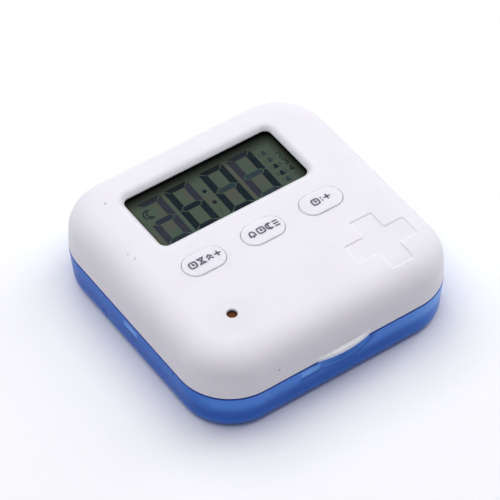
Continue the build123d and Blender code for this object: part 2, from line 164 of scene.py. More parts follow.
def mixColour(tree, mask, first, second):
    # first and second are colours or sockets
    node = addNode(tree, "ShaderNodeMix", data_type="RGBA")
    tree.links.new(mask, node.inputs["Factor"])
    for socket, value in ((node.inputs[6], first), (node.inputs[7], second)):
        if isinstance(value, bpy.types.NodeSocket):
            tree.links.new(value, socket)
        else:
            socket.default_value = (*value, 1.0)
    return node.outputs[2]


def ramp(tree, value, low, high, outLow=0.0, outHigh=1.0, curve="LINEAR"):
    # maps low..high to outLow..outHigh, held at the ends
    node = addNode(tree, "ShaderNodeMapRange", links={"Value": value}, interpolation_type=curve,
                   From_Min=low, From_Max=high, To_Min=outLow, To_Max=outHigh)
    return node.outputs["Result"]


def startMaterial(name, colour, **sockets):
    # a material with its shader's plain values set, and its Object coordinates
    material = bpy.data.materials.new(name)
    material.use_nodes = True
    tree = material.node_tree
    shader = tree.nodes["Principled BSDF"]
    shader.inputs["Base Color"].default_value = (*colour, 1.0)
    for key, value in sockets.items():
        shader.inputs[key.replace("_", " ")].default_value = value
    place = addNode(tree, "ShaderNodeTexCoord").outputs["Object"]
    return material, tree, shader, place


def bump(tree, shader, height, depth):
    node = addNode(tree, "ShaderNodeBump", links={"Height": height}, Strength=1.0, Distance=depth)
    tree.links.new(node.outputs["Normal"], shader.inputs["Normal"])


def driftRoughness(tree, shader, mask, middle, spread, low=0.3, high=0.7):
    # roughness goes from middle + spread[0] to middle + spread[1] as the mask goes from low to high
    rough = ramp(tree, mask, low, high, middle + spread[0], middle + spread[1])
    tree.links.new(rough, shader.inputs["Roughness"])


def toMetres(values):
    # a place or a size in millimetres
    return tuple(value * mm for value in values)


def makeGrainGroup():
    # moulded skin: fine noise plus soft pits gives Height, broad noise gives Cloud
    tree, source, sink = newGroup("mouldGrain", {"Vector": None, "Grain": 2500.0, "Cloud": 40.0},
                                  ("Height", "Cloud"))
    fineLinks = {"Vector": source["Vector"], "Scale": source["Grain"]}
    broadLinks = {"Vector": source["Vector"], "Scale": source["Cloud"]}
    fine = addNode(tree, "ShaderNodeTexNoise", links=fineLinks, Detail=3.0, Roughness=0.6)
    pits = addNode(tree, "ShaderNodeTexVoronoi", links=fineLinks, feature="SMOOTH_F1", Smoothness=0.6)
    broad = addNode(tree, "ShaderNodeTexNoise", links=broadLinks, Detail=4.0, Roughness=0.55)
    tree.links.new(maths(tree, "ADD", fine.outputs["Fac"], pits.outputs["Distance"]), sink["Height"])
    tree.links.new(broad.outputs["Fac"], sink["Cloud"])
    return tree


def makeDustGroup():
    # specks: a round spot in the cells of a random grid whose own value is below Share
    tree, source, sink = newGroup("dustSpecks",
                                  {"Vector": None, "Cells": 120.0, "Share": 0.1, "Size": 0.05}, ("Mask",))
    cells = addNode(tree, "ShaderNodeTexVoronoi",
                    links={"Vector": source["Vector"], "Scale": source["Cells"]})
    split = addNode(tree, "ShaderNodeSeparateColor", links={"Color": cells.outputs["Color"]})
    chosen = maths(tree, "LESS_THAN", split.outputs[0], source["Share"])
    spot = maths(tree, "LESS_THAN", cells.outputs["Distance"], source["Size"])
    tree.links.new(maths(tree, "MULTIPLY", chosen, spot), sink["Mask"])
    return tree


def makeBrushGroup():
    # drawn metal: noise stretched along X gives Lines, plain noise gives Tarnish
    tree, source, sink = newGroup("drawnMetal", {"Vector": None, "Scale": 2000.0}, ("Lines", "Tarnish"))
    stretch = addNode(tree, "ShaderNodeMapping", links={"Vector": source["Vector"]}, Scale=(0.03, 1.0, 1.0))
    lines = addNode(tree, "ShaderNodeTexNoise", Detail=2.0,
                    links={"Vector": stretch.outputs["Vector"], "Scale": source["Scale"]})
    tarnish = addNode(tree, "ShaderNodeTexNoise", links={"Vector": source["Vector"]},
                      Scale=260.0, Detail=5.0)
    tree.links.new(lines.outputs["Fac"], sink["Lines"])
    tree.links.new(tarnish.outputs["Fac"], sink["Tarnish"])
    return tree


def makeSoftBoxGroup():
    # box with soft edges: Mask is 1 where |place - centre| - half is below 0 on every axis, and falls
    # to 0 across Softness outside it
    tree, source, sink = newGroup("softBox",
                                  {"Vector": None, "Centre": None, "Half": None, "Softness": 0.001},
                                  ("Mask",))
    offset = addNode(tree, "ShaderNodeVectorMath", links={0: source["Vector"], 1: source["Centre"]},
                     operation="SUBTRACT")
    away = addNode(tree, "ShaderNodeVectorMath", links={0: offset.outputs[0]}, operation="ABSOLUTE")
    beyond = addNode(tree, "ShaderNodeVectorMath", links={0: away.outputs[0], 1: source["Half"]},
                     operation="SUBTRACT")
    split = addNode(tree, "ShaderNodeSeparateXYZ", links={0: beyond.outputs[0]}).outputs
    widest = maths(tree, "MAXIMUM", maths(tree, "MAXIMUM", split[0], split[1]), split[2])
    mask = addNode(tree, "ShaderNodeMapRange", links={"Value": widest, "From Max": source["Softness"]},
                   interpolation_type="SMOOTHSTEP", From_Min=0.0, To_Min=1.0, To_Max=0.0)
    tree.links.new(mask.outputs["Result"], sink["Mask"])
    return tree


def makeWindowShadeGroup():
    # shade under the window's rim: the product of smooth ramps from the rear, right and left edges
    tree, source, sink = newGroup("windowShade", {"Vector": None, "Rear": 0.0278, "RearFade": 0.005,
                                                  "Right": 0.0242, "RightFade": 0.004,
                                                  "Left": 0.0242, "LeftFade": 0.0015}, ("Shade",))
    split = addNode(tree, "ShaderNodeSeparateXYZ", links={0: source["Vector"]}).outputs
    leftward = maths(tree, "MULTIPLY", split[0], -1.0)
    total = 1.0
    for side, value in (("Rear", split[1]), ("Right", split[0]), ("Left", leftward)):
        start = maths(tree, "SUBTRACT", source[side], source[side + "Fade"])
        fade = addNode(tree, "ShaderNodeMapRange", interpolation_type="SMOOTHSTEP", To_Min=1.0, To_Max=0.0,
                       links={"Value": value, "From Min": start, "From Max": source[side]}).outputs["Result"]
        total = maths(tree, "MULTIPLY", total, fade)
    tree.links.new(total, sink["Shade"])
    return tree


mouldGrain = makeGrainGroup()
dustSpecks = makeDustGroup()
drawnMetal = makeBrushGroup()
softBox = makeSoftBoxGroup()
windowShade = makeWindowShadeGroup()
print("node groups made")


def boxMask(tree, place, centre, half, softness):
    # softBox with its centre and half sizes in millimetres
    mask = useGroup(tree, softBox, place, Centre=toMetres(centre), Half=toMetres(half), Softness=softness)
    return mask["Mask"]


whitePlastic = dict(colour=(0.82, 0.805, 0.84), shade=(0.795, 0.78, 0.815), shadeBand=(0.35, 0.7),
                    specular=0.35, roughness=0.5, roughSpread=(-0.04, 0.05),
                    grain=2600.0, cloud=55.0, grainDepth=0.012 * mm,
                    scatter=0.9, scatterReach=1.2 * mm, scatterTint=(1.0, 0.95, 0.92),
                    dust=dict(Cells=150.0, Share=0.02, Size=0.014), dustColour=(0.5, 0.45, 0.45),
                    # painted light for the thumb tab's top and the sunk cross's steep walls
                    paintedLight=(0.98, 0.97, 1.0),
                    tabCentre=(0.0, -42.2, 14.1), tabHalf=(8.6, 1.6, 0.25), tabSoftness=0.2 * mm,
                    crossCentre=(23.9, -24.4, 25.0), crossHalf=(9.8, 9.8, 2.0), crossSoftness=0.3 * mm,
                    steepBand=(0.35, 0.65), speckRadius=0.2 * mm,
                    specks=(((-28.9, 28.8, 25.5), (0.42, 0.36, 0.36)),
                            ((-33.9, 10.15, 25.3), (0.62, 0.50, 0.51)),
                            ((-33.2, 7.7, 25.3), (0.60, 0.48, 0.50)),
                            ((-20.4, -40.4, 17.5), (0.30, 0.27, 0.28))))


def shellSpecksAndPaintedLight(tree, place, colour, settings):
    # dark grains: each is a ball, full at its radius and gone at twice that
    radius = settings["speckRadius"]
    for spot, speckColour in settings["specks"]:
        away = addNode(tree, "ShaderNodeVectorMath", links={0: place}, operation="DISTANCE")
        away.inputs[1].default_value = toMetres(spot)
        near = ramp(tree, away.outputs["Value"], radius, radius * 2, 1.0, 0.0)
        colour = mixColour(tree, near, colour, speckColour)
    # painted highlight: the thumb tab's top made paler
    tab = boxMask(tree, place, settings["tabCentre"], settings["tabHalf"], settings["tabSoftness"])
    colour = mixColour(tree, tab, colour, settings["paintedLight"])
    # painted light on the sunk cross's steep walls, which makes them paler than their shading:
    # where the normal's upward part is small
    facing = addNode(tree, "ShaderNodeTexCoord").outputs["Normal"]
    upward = addNode(tree, "ShaderNodeSeparateXYZ", links={0: facing}).outputs[2]
    cross = boxMask(tree, place, settings["crossCentre"], settings["crossHalf"], settings["crossSoftness"])
    steep = maths(tree, "MULTIPLY", cross, ramp(tree, upward, *settings["steepBand"], 1.0, 0.0))
    return mixColour(tree, steep, colour, settings["paintedLight"])


def makeWhite(name, settings, isShell):
    # cool white moulding that light enters a little way: broad soft clouding, satin grain and fine dust;
    # the shell also has a few dark grains, and painted light that makes the thumb tab's top and the sunk
    # cross's steep walls paler
    material, tree, shader, place = startMaterial(name, settings["colour"],
                                                  Roughness=settings["roughness"],
                                                  Specular_IOR_Level=settings["specular"],
                                                  Subsurface_Weight=settings["scatter"],
                                                  Subsurface_Radius=settings["scatterTint"],
                                                  Subsurface_Scale=settings["scatterReach"])
    grain = useGroup(tree, mouldGrain, place, Grain=settings["grain"], Cloud=settings["cloud"])
    clouded = ramp(tree, grain["Cloud"], *settings["shadeBand"])
    colour = mixColour(tree, clouded, settings["colour"], settings["shade"])
    dust = useGroup(tree, dustSpecks, place, **settings["dust"])
    colour = mixColour(tree, dust["Mask"], colour, settings["dustColour"])
    if isShell:
        colour = shellSpecksAndPaintedLight(tree, place, colour, settings)
    tree.links.new(colour, shader.inputs["Base Color"])
    driftRoughness(tree, shader, grain["Cloud"], settings["roughness"], settings["roughSpread"])
    bump(tree, shader, grain["Height"], settings["grainDepth"])
    return material


# the blue's colours hold painted light in the upper band and at the front right corner, and painted shade
# along the left wall, under the rim, round the scoop and under the pale patches
bluePlastic = dict(upper=(0.096, 0.275, 0.80), lower=(0.038, 0.135, 0.54), foot=(0.06, 0.195, 0.65),
                   paintedLeftShade=(0.040, 0.175, 0.64), paintedGlow=(0.20, 0.46, 0.98), paintedGlowLow=(0.075, 0.24, 0.78),
                   bright=(0.22, 0.50, 1.0), dim=(0.03, 0.11, 0.48), rim=(0.035, 0.09, 0.45),
                   scoopShade=(0.022, 0.095, 0.46), ior=1.32, specular=0.12,
                   roughness=0.28, roughSpread=(-0.015, 0.025),
                   grain=1800.0, cloud=70.0, grainDepth=0.002 * mm,
                   band=(5.5 * mm, 10.0 * mm), footBand=(2.0 * mm, 4.5 * mm),
                   seamShadeBand=(12.1 * mm, 12.3 * mm), paintedLeftShadeSide=(-41.0 * mm, -37.0 * mm),
                   paintedGlowSide=(16.0 * mm, 38.0 * mm), paintedGlowFront=(-28.0 * mm, -12.0 * mm),
                   lights=(((-41.1, -0.7, 9.9), (1.0, 2.4, 0.45)),
                           ((-10.5, -41.0, 10.6), (2.3, 1.0, 0.45))),
                   shadows=(((-41.1, -0.9, 7.9), (1.0, 2.4, 0.1)),
                            ((-10.7, -41.0, 8.6), (2.3, 1.0, 0.1))),
                   patchSoftness=1.2 * mm, patchStrength=0.75,
                   scoopMiddle=(0.0, 0.0, 12.4), scoopHalf=(8.5, 4.6), wallFront=(-39.4 * mm, -39.0 * mm),
                   ringStart=(0.97, 1.03), ringEnd=(1.06, 1.35), ringStrength=0.7)


def scoopShadeRing(tree, place, along, settings):
    # painted shade in an ellipse round the thumb scoop, on the front wall only: full just outside 1, gone at
    # the ring's end
    offset = addNode(tree, "ShaderNodeVectorMath", links={0: place}, operation="SUBTRACT")
    offset.inputs[1].default_value = toMetres(settings["scoopMiddle"])
    scaled = addNode(tree, "ShaderNodeVectorMath", links={0: offset.outputs[0]}, operation="MULTIPLY")
    halfWidth, halfHeight = toMetres(settings["scoopHalf"])
    scaled.inputs[1].default_value = (1 / halfWidth, 0.0, 1 / halfHeight)
    reach = addNode(tree, "ShaderNodeVectorMath", links={0: scaled.outputs[0]}, operation="LENGTH")
    reach = reach.outputs["Value"]
    ring = maths(tree, "MULTIPLY", ramp(tree, reach, *settings["ringStart"]),
                 ramp(tree, reach, *settings["ringEnd"], 1.0, 0.0))
    ring = maths(tree, "MULTIPLY", ring, ramp(tree, along, *settings["wallFront"], 1.0, 0.0))
    return maths(tree, "MULTIPLY", ring, settings["ringStrength"])


def makeBlue(name, settings):
    # tinted moulding: lighter in the upper band, painted light that stands in for the lid's white skirt seen
    # through the wall, darker lower down and lighter at the foot, painted shade along the left wall, a
    # painted glow at the front right corner, pale patches with painted shadows under them, painted shade
    # round the scoop and under the rim, faint haze in the gloss
    material, tree, shader, place = startMaterial(name, settings["upper"], IOR=settings["ior"],
                                                  Specular_IOR_Level=settings["specular"])
    grain = useGroup(tree, mouldGrain, place, Grain=settings["grain"], Cloud=settings["cloud"])
    across, along, height = addNode(tree, "ShaderNodeSeparateXYZ", links={0: place}).outputs
    # painted shade along the left wall
    paintedLeftShade = ramp(tree, across, *settings["paintedLeftShadeSide"], curve="SMOOTHSTEP")
    # painted light: a glow at the front right corner
    paintedGlow = maths(tree, "MULTIPLY", ramp(tree, across, *settings["paintedGlowSide"], curve="SMOOTHSTEP"),
                 ramp(tree, along, *settings["paintedGlowFront"], 1.0, 0.0, curve="SMOOTHSTEP"))
    upper = mixColour(tree, paintedLeftShade, settings["paintedLeftShade"], settings["upper"])
    upper = mixColour(tree, paintedGlow, upper, settings["paintedGlow"])
    lower = mixColour(tree, paintedGlow, settings["lower"], settings["paintedGlowLow"])
    footed = ramp(tree, height, *settings["footBand"], curve="SMOOTHSTEP")
    colour = mixColour(tree, footed, settings["foot"], lower)
    # painted light: the upper band is lighter, standing in for the lid's white skirt seen through the wall
    raised = ramp(tree, height, *settings["band"], curve="SMOOTHSTEP")
    colour = mixColour(tree, raised, colour, upper)
    # painted shade round the thumb scoop
    colour = mixColour(tree, scoopShadeRing(tree, place, along, settings), colour, settings["scoopShade"])
    # pale patches, each with a painted shadow under it
    patches = ((settings["shadows"], settings["dim"]), (settings["lights"], settings["bright"]))
    for boxes, patchColour in patches:
        for centre, half in boxes:
            patch = boxMask(tree, place, centre, half, settings["patchSoftness"])
            strength = maths(tree, "MULTIPLY", patch, settings["patchStrength"])
            colour = mixColour(tree, strength, colour, patchColour)
    # painted shade along the seam under the lid's rim
    rim = ramp(tree, height, *settings["seamShadeBand"], curve="SMOOTHSTEP")
    colour = mixColour(tree, rim, colour, settings["rim"])
    tree.links.new(colour, shader.inputs["Base Color"])
    driftRoughness(tree, shader, grain["Cloud"], settings["roughness"], settings["roughSpread"])
    bump(tree, shader, grain["Height"], settings["grainDepth"])
    return material


displayFilm = dict(colour=(0.067, 0.090, 0.063), cool=(0.058, 0.086, 0.066), coolBand=(0.4, 0.65),
                   warm=(0.077, 0.083, 0.062), shade=(0.009, 0.009, 0.007), shadeStrength=0.8,
                   specular=0.02, roughness=0.4, softness=0.35 * mm,
                   grain=3200.0, cloud=160.0, grainDepth=0.002 * mm,
                   patches=((-16.35, 21.2, 0.75, 2.7), (-17.8, 14.5, 1.4, 1.5), (-7.3, 21.2, 0.8, 2.7),
                            (-3.85, 16.9, 0.75, 1.6), (2.6, 14.2, 1.8, 1.8), (7.38, 17.3, 0.38, 7.7),
                            (11.65, 14.2, 1.65, 1.8), (14.0, 21.6, 0.6, 2.3), (-22.6, 11.0, 0.5, 2.4),
                            (6.6, 25.2, 1.2, 0.6)))


def windowShadeOver(tree, place, colour, settings):
    # darkens a colour towards the window's rear and side rims
    shade = useGroup(tree, windowShade, place)["Shade"]
    light = ramp(tree, shade, 0.0, 1.0, 1.0 - settings["shadeStrength"], 1.0)
    return mixColour(tree, light, settings["shade"], colour)


def makeFilm(name, settings):
    # grey-green film: warm patches, cool clouding, fine sparkle grain
    material, tree, shader, place = startMaterial(name, settings["colour"], Roughness=settings["roughness"],
                                                  Specular_IOR_Level=settings["specular"])
    grain = useGroup(tree, mouldGrain, place, Grain=settings["grain"], Cloud=settings["cloud"])
    clouded = ramp(tree, grain["Cloud"], *settings["coolBand"])
    colour = mixColour(tree, clouded, settings["colour"], settings["cool"])
    anyHeight = 1000.0
    for x, y, halfX, halfY in settings["patches"]:
        patch = boxMask(tree, place, (x, y, 0.0), (halfX, halfY, anyHeight), settings["softness"])
        colour = mixColour(tree, patch, colour, settings["warm"])
    tree.links.new(windowShadeOver(tree, place, colour, settings), shader.inputs["Base Color"])
    bump(tree, shader, grain["Height"], settings["grainDepth"])
    return material


inkFinish = dict(grain=4200.0, cloud=420.0, thinBand=(0.45, 0.75), grainDepth=0.001 * mm)


def makeInk(name, colour, variation, roughness, specular=0.02, shaded=True):
    # segments and legends: an even tone that thins a little in soft patches
    material, tree, shader, place = startMaterial(name, colour, Roughness=roughness,
                                                  Specular_IOR_Level=specular)
    grain = useGroup(tree, mouldGrain, place, Grain=inkFinish["grain"], Cloud=inkFinish["cloud"])
    tone = mixColour(tree, ramp(tree, grain["Cloud"], *inkFinish["thinBand"]), colour, variation)
    if shaded:
        tone = windowShadeOver(tree, place, tone, displayFilm)
    tree.links.new(tone, shader.inputs["Base Color"])
    bump(tree, shader, grain["Height"], inkFinish["grainDepth"])
    return material


plainFinish = dict(variationBand=(0.35, 0.7), roughSpread=(-0.05, 0.06))


def makePlain(name, colour, variation, roughness, grain=2000.0, cloud=120.0, depth=0.005, **sockets):
    # moulded or cured surface of one colour with soft clouding and its own grain, depth in millimetres
    material, tree, shader, place = startMaterial(name, colour, Roughness=roughness, **sockets)
    skin = useGroup(tree, mouldGrain, place, Grain=grain, Cloud=cloud)
    tone = mixColour(tree, ramp(tree, skin["Cloud"], *plainFinish["variationBand"]), colour, variation)
    tree.links.new(tone, shader.inputs["Base Color"])
    driftRoughness(tree, shader, skin["Cloud"], roughness, plainFinish["roughSpread"])
    bump(tree, shader, skin["Height"], depth * mm)
    return material


metalFinish = dict(tarnishBand=(0.45, 0.75), roughSpread=(0.0, 0.2), roughBand=(0.3, 0.8),
                   lineDepth=0.003 * mm)


def makeMetal(name, colour, tarnish, roughness, scale=2000.0):
    # drawn or plated metal: fine lines in the height, tarnish in the colour and roughness
    material, tree, shader, place = startMaterial(name, colour, Roughness=roughness, Metallic=1.0)
    brush = useGroup(tree, drawnMetal, place, Scale=scale)
    tone = mixColour(tree, ramp(tree, brush["Tarnish"], *metalFinish["tarnishBand"]), colour, tarnish)
    tree.links.new(tone, shader.inputs["Base Color"])
    driftRoughness(tree, shader, brush["Tarnish"], roughness, metalFinish["roughSpread"],
                   *metalFinish["roughBand"])
    bump(tree, shader, brush["Lines"], metalFinish["lineDepth"])
    return material


materials = {
    "white_shell": makeWhite("whiteShell", whitePlastic, True),
    "button_white": makeWhite("buttonWhite", whitePlastic, False),
    "inner_white": makeWhite("innerWhite", whitePlastic, False),
    "blue_tray": makeBlue("blueTray", bluePlastic),
    "display_film": makeFilm("displayFilm", displayFilm),
    "display_glass": makePlain("displayGlass", (0.8, 0.85, 0.82), (0.78, 0.84, 0.8), 0.06, depth=0.001,
                               Transmission_Weight=0.95, IOR=1.5),
    "reflector_film": makePlain("reflectorFilm", (0.45, 0.48, 0.42), (0.40, 0.43, 0.37), 0.4),
    "black_foam": makePlain("blackFoam", (0.010, 0.010, 0.008), (0.016, 0.015, 0.012), 0.9, grain=1500.0,
                            depth=0.05, Specular_IOR_Level=0.1),
    "connector_rubber": makePlain("connectorRubber", (0.46, 0.24, 0.26), (0.40, 0.20, 0.22), 0.6),
    "board_green": makePlain("boardGreen", (0.02, 0.16, 0.06), (0.02, 0.22, 0.08), 0.35, cloud=300.0),
    "switch_black": makePlain("switchBlack", (0.02, 0.02, 0.022), (0.03, 0.03, 0.03), 0.45),
    "epoxy_black": makePlain("epoxyBlack", (0.012, 0.012, 0.013), (0.02, 0.02, 0.02), 0.15),
    "chip_ceramic": makePlain("chipCeramic", (0.30, 0.22, 0.14), (0.2, 0.15, 0.1), 0.5),
    "piezo_ceramic": makePlain("piezoCeramic", (0.75, 0.73, 0.66), (0.68, 0.66, 0.6), 0.35),
    "lead_red": makePlain("leadRed", (0.42, 0.02, 0.02), (0.35, 0.02, 0.02), 0.4),
    "steel": makeMetal("platedSteel", (0.62, 0.62, 0.63), (0.45, 0.44, 0.42), 0.28),
    "contact_plating": makeMetal("contactPlating", (0.72, 0.70, 0.66), (0.6, 0.57, 0.5), 0.22),
    "cell_can": makeMetal("cellCan", (0.70, 0.70, 0.70), (0.55, 0.55, 0.54), 0.2),
    "brass_sheet": makeMetal("brassSheet", (0.082, 0.032, 0.0125), (0.055, 0.021, 0.008), 0.42, 3000.0),
}

for entry in frame["record"]["subparts"]:
    mesh = cadNodes[entry["node"]].data
    mesh.materials.clear()
    mesh.materials.append(materials[entry["material_slot"]])
print("materials on", len(cadNodes), "nodes")


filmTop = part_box("lcd_polariser")[1].z
segmentInk = {
    "Dark": makeInk("segmentDark", (0.009, 0.016, 0.021), (0.013, 0.021, 0.026), 0.4),
    "Slate": makeInk("segmentSlate", (0.020, 0.029, 0.040), (0.026, 0.035, 0.046), 0.4),
    "Violet": makeInk("segmentViolet", (0.028, 0.031, 0.044), (0.034, 0.036, 0.048), 0.4),
    "Green": makeInk("segmentGreen", (0.025, 0.041, 0.048), (0.030, 0.048, 0.052), 0.4),
    "Faint": makeInk("segmentFaint", (0.046, 0.060, 0.050), (0.052, 0.068, 0.056), 0.4),
}
display = dict(middle=17.14, height=17.36, width=7.75, stroke=2.02, bar=1.72, slant=0.022,
               clearance=0.005, thickness=0.03, lefts=(-21.55, -12.6, -1.2, 7.85),
               tones=(dict(a="Slate", b="Violet", c="Violet", d="Slate", e="Violet", g="Slate"),
                      dict(a="Dark", b="Violet", c="Dark", d="Dark", e="Dark", f="Dark", g="Dark"),
                      dict(a="Dark", b="Dark", c="Dark", d="Dark", e="Dark", f="Dark", g="Green"),
                      dict(a="Slate", b="Dark", c="Dark", d="Green", e="Violet", f="Violet", g="Green")),
               colonX=-2.95, colonY=(19.62, 14.78), colonRadius=0.66, markPlace=(-3.3, 11.4),
               markRadius=0.35, bellX=18.3, bellY=(22.25, 19.2, 16.35, 13.3, 10.5), bellSize=1.7,
               bellTones=("Green", "Green", "Dark", "Dark", "Green"),
               clapperDrop=0.5, clapperRadius=0.12,  # both are shares of the bell's size
               swingReach=(0.68, 0.92), swingAngle=24, swingRise=0.1, swingStroke=0.16,
               numberX=21.5, numberTones=("Faint", "Green", "Dark", "Dark", "Faint"), numberStroke=0.32,
               moonPlace=(-20.0, 21.15), moonRadius=1.55, moonStroke=0.34)


def segmentOutlines(width, height, stroke, bar):
    # seven bars round the origin: slanted where two meet at a corner, pointed at the middle bar
    w, h, inner = width / 2, height / 2, width / 2 - stroke
    cornerGap, innerGap = 0.35, 0.12
    tip, shoulder = 2.9, 2.28  # where the middle bar ends, and where it starts to narrow
    top = [(-w + cornerGap, h), (w - cornerGap, h), (inner + innerGap, h - bar), (-inner - innerGap, h - bar)]
    upper = [(w, h - 0.5), (w, 0.18), (w - 0.72, 0.12), (w - 1.4, 1.05), (inner, 1.12),
             (inner, h - bar - 0.25)]
    middle = [(-tip, 0), (-shoulder, bar / 2), (shoulder, bar / 2),
              (tip, 0), (shoulder, -bar / 2), (-shoulder, -bar / 2)]
    outlines = {"a": top[::-1], "b": upper[::-1], "g": middle[::-1]}
    outlines["d"] = [(x, -y) for x, y in outlines["a"]][::-1]
    outlines["c"] = [(x, -y) for x, y in outlines["b"]][::-1]
    outlines["f"] = [(-x, y) for x, y in outlines["b"]][::-1]
    outlines["e"] = [(-x, -y) for x, y in outlines["b"]]
    return outlines


def placed(outline, x, y, slant=0.0):
    # moves an outline in millimetres to its place in metres and leans it
    outline = np.asarray(outline, float)
    return np.column_stack([outline[:, 0] + x + slant * outline[:, 1], outline[:, 1] + y]) * mm


def bellOutline(size):
    # dome that flares to a wide rim: half width is the root of (1 - height cubed), times the dome's half
    # width, plus a flare that fades with height like a bell curve
    domeHalf, flare, flareHeight, tipHalf, rimDrop = 0.36, 0.16, 0.16, 0.04, 0.45
    height = np.linspace(0.0, 1.0, 13)
    half = domeHalf * np.sqrt(np.maximum(1 - height ** 3, 0.0)) + flare * np.exp(-(height / flareHeight) ** 2)
    half[-1] = tipHalf
    side = np.column_stack([half, height - rimDrop])
    return np.concatenate([side, side[::-1] * (-1, 1)]) * size


def crescentOutline(radius):
    # one circle less another: the arcs meet where both circles have the same x
    bite, offset = 0.9, 0.55
    x = (1 - bite ** 2 + offset ** 2) / (2 * offset)
    outer = math.degrees(math.acos(x))
    inner = math.degrees(math.atan2(math.sqrt(1 - x * x), x - offset))
    return np.concatenate([arc((0, 0), 1, outer, 360 - outer, 33),
                           arc((offset, 0), bite, 360 - inner, inner, 25)[1:-1]]) * radius


# centre lines of the plain numbers beside the bells
numberPaths = (
    [np.array([(-0.35, 0.62), (0.05, 1.0), (0.05, -1.0)])],
    [np.concatenate([arc((0.0, 0.45), 0.55, 160, -30, 12), [(-0.58, -1.0), (0.62, -1.0)]])],
    [np.concatenate([arc((0.0, 0.5), 0.5, 150, -80, 12), arc((0.0, -0.48), 0.54, 75, -150, 12)])],
    [np.array([(0.65, -0.4), (-0.65, -0.4), (0.25, 1.0), (0.25, -1.0)])],
    [np.concatenate([[(0.55, 1.0), (-0.45, 1.0), (-0.5, 0.12)], arc((-0.02, -0.38), 0.62, 115, -140, 14)])],
)


def displayParts():
    # every flat figure of the display, sorted by its tone
    settings = display
    low, high = filmTop + settings["clearance"] * mm, filmTop + settings["thickness"] * mm
    parts = {tone: [] for tone in segmentInk}
    bars = segmentOutlines(settings["width"], settings["height"], settings["stroke"], settings["bar"])
    for left, tones in zip(settings["lefts"], settings["tones"]):
        for letter, tone in tones.items():
            centre = left + settings["width"] / 2
            outline = placed(bars[letter], centre, settings["middle"], settings["slant"])
            parts[tone].append(slab(outline, low, high))
    for y in settings["colonY"]:
        dot = arc((settings["colonX"], y), settings["colonRadius"], 0, 348, 30)
        parts["Dark"].append(slab(dot * mm, low, high))
    mark = arc(settings["markPlace"], settings["markRadius"], 0, 330, 12)
    parts["Faint"].append(slab(mark * mm, low, high))
    bellX, size, angle = settings["bellX"], settings["bellSize"], settings["swingAngle"]
    for y, tone in zip(settings["bellY"], settings["bellTones"]):
        parts[tone].append(slab(placed(bellOutline(size), bellX, y), low, high))
        hanging = (bellX, y - settings["clapperDrop"] * size)
        clapper = arc(hanging, settings["clapperRadius"] * size, 180, 360, 9)
        parts[tone].append(slab(clapper * mm, low, high))
        swingTone = "Faint" if tone == "Green" else "Green"
        for side in (0, 180):
            for reach in settings["swingReach"]:
                swing = arc((bellX, y + settings["swingRise"]), reach * size, side - angle, side + angle, 9)
                parts[swingTone].append(ribbon(swing * mm, settings["swingStroke"] * mm, low, high))
    for y, paths, tone in zip(settings["bellY"], numberPaths, settings["numberTones"]):
        for path in paths:
            centred = placed(path, settings["numberX"], y)
            parts[tone].append(ribbon(centred, settings["numberStroke"] * mm, low, high))
    # crescent beside the first figure, drawn as a line
    moon = placed(crescentOutline(settings["moonRadius"]), *settings["moonPlace"])
    parts["Dark"].append(ribbon(moon, settings["moonStroke"] * mm, low, high, closed=True))
    return parts


for tone, toneParts in displayParts().items():
    meshPiece("display" + tone, toneParts, "lid", segmentInk[tone])
print("display drawn")


legendInk = makeInk("legendInk", (0.115, 0.108, 0.155), (0.15, 0.143, 0.19), 0.5, 0.08, shaded=False)
legend = dict(stroke=0.43, gap=0.48, thickness=0.02, drop=0.05, crownRadius=80.0,
              nudge=dict(hour=(0.45, 0.2), mode=(0.45, 0.2), minute=(0.15, 0.2)))


# each glyph gives its width and its strokes, as (path, closed), in millimetres round its own middle
def clockGlyph():
    # round-cornered square with two hands
    half, corner = 1.0, 0.5
    edge = half - corner
    rim = np.concatenate([arc((sx * edge, sy * edge), corner, start, start + 90, 6)
                          for sx, sy, start in ((1, 1, 0), (-1, 1, 90), (-1, -1, 180), (1, -1, 270))])
    return 2.4, [(rim, True), ([(0.0, 0.6), (0.0, -0.08), (0.5, -0.08)], False)]


def arrowGlyph():
    # two chevrons that point up, one above the other
    return 2.1, [([(-0.85, y), (0.0, y + 0.75), (0.85, y)], False) for y in (-0.85, 0.05)]


def glassGlyph():
    # hourglass: two triangles tip to tip between two bars
    return 2.0, [([(-0.8, 1.0), (0.8, 1.0), (-0.8, -1.0), (0.8, -1.0)], True)]


def plusGlyph():
    return 2.0, [([(-0.98, 0.0), (0.98, 0.0)], False), ([(0.0, -0.98), (0.0, 0.98)], False)]


def dotsGlyph():
    return 0.55, [([(0.0, y - 0.22), (0.0, y + 0.22)], False) for y in (-0.5, 0.5)]


def bellGlyph():
    # open bell with a bar for its rim and a short clapper
    body = np.concatenate([[(-0.8, -0.55)], arc((0, 0.25), 0.7, 180, 0, 13), [(0.8, -0.55)]])
    rim, clapper = [(-1.05, -0.62), (1.05, -0.62)], [(-0.25, -1.02), (0.25, -1.02)]
    return 2.2, [(body, False), (rim, False), (clapper, False)]


def moonGlyph():
    return 1.8, [(crescentOutline(1.05) + (0.15, 0.0), True)]


def barsGlyph():
    # three short lines, like a list
    return 1.8, [([(-0.8, y), (0.8, y)], False) for y in (-0.9, 0.0, 0.9)]


legends = {
    "hour": [clockGlyph(), glassGlyph(), arrowGlyph(), plusGlyph()],
    "mode": [bellGlyph(), clockGlyph(), moonGlyph(), barsGlyph()],
    "minute": [clockGlyph(), dotsGlyph(), plusGlyph()],
}


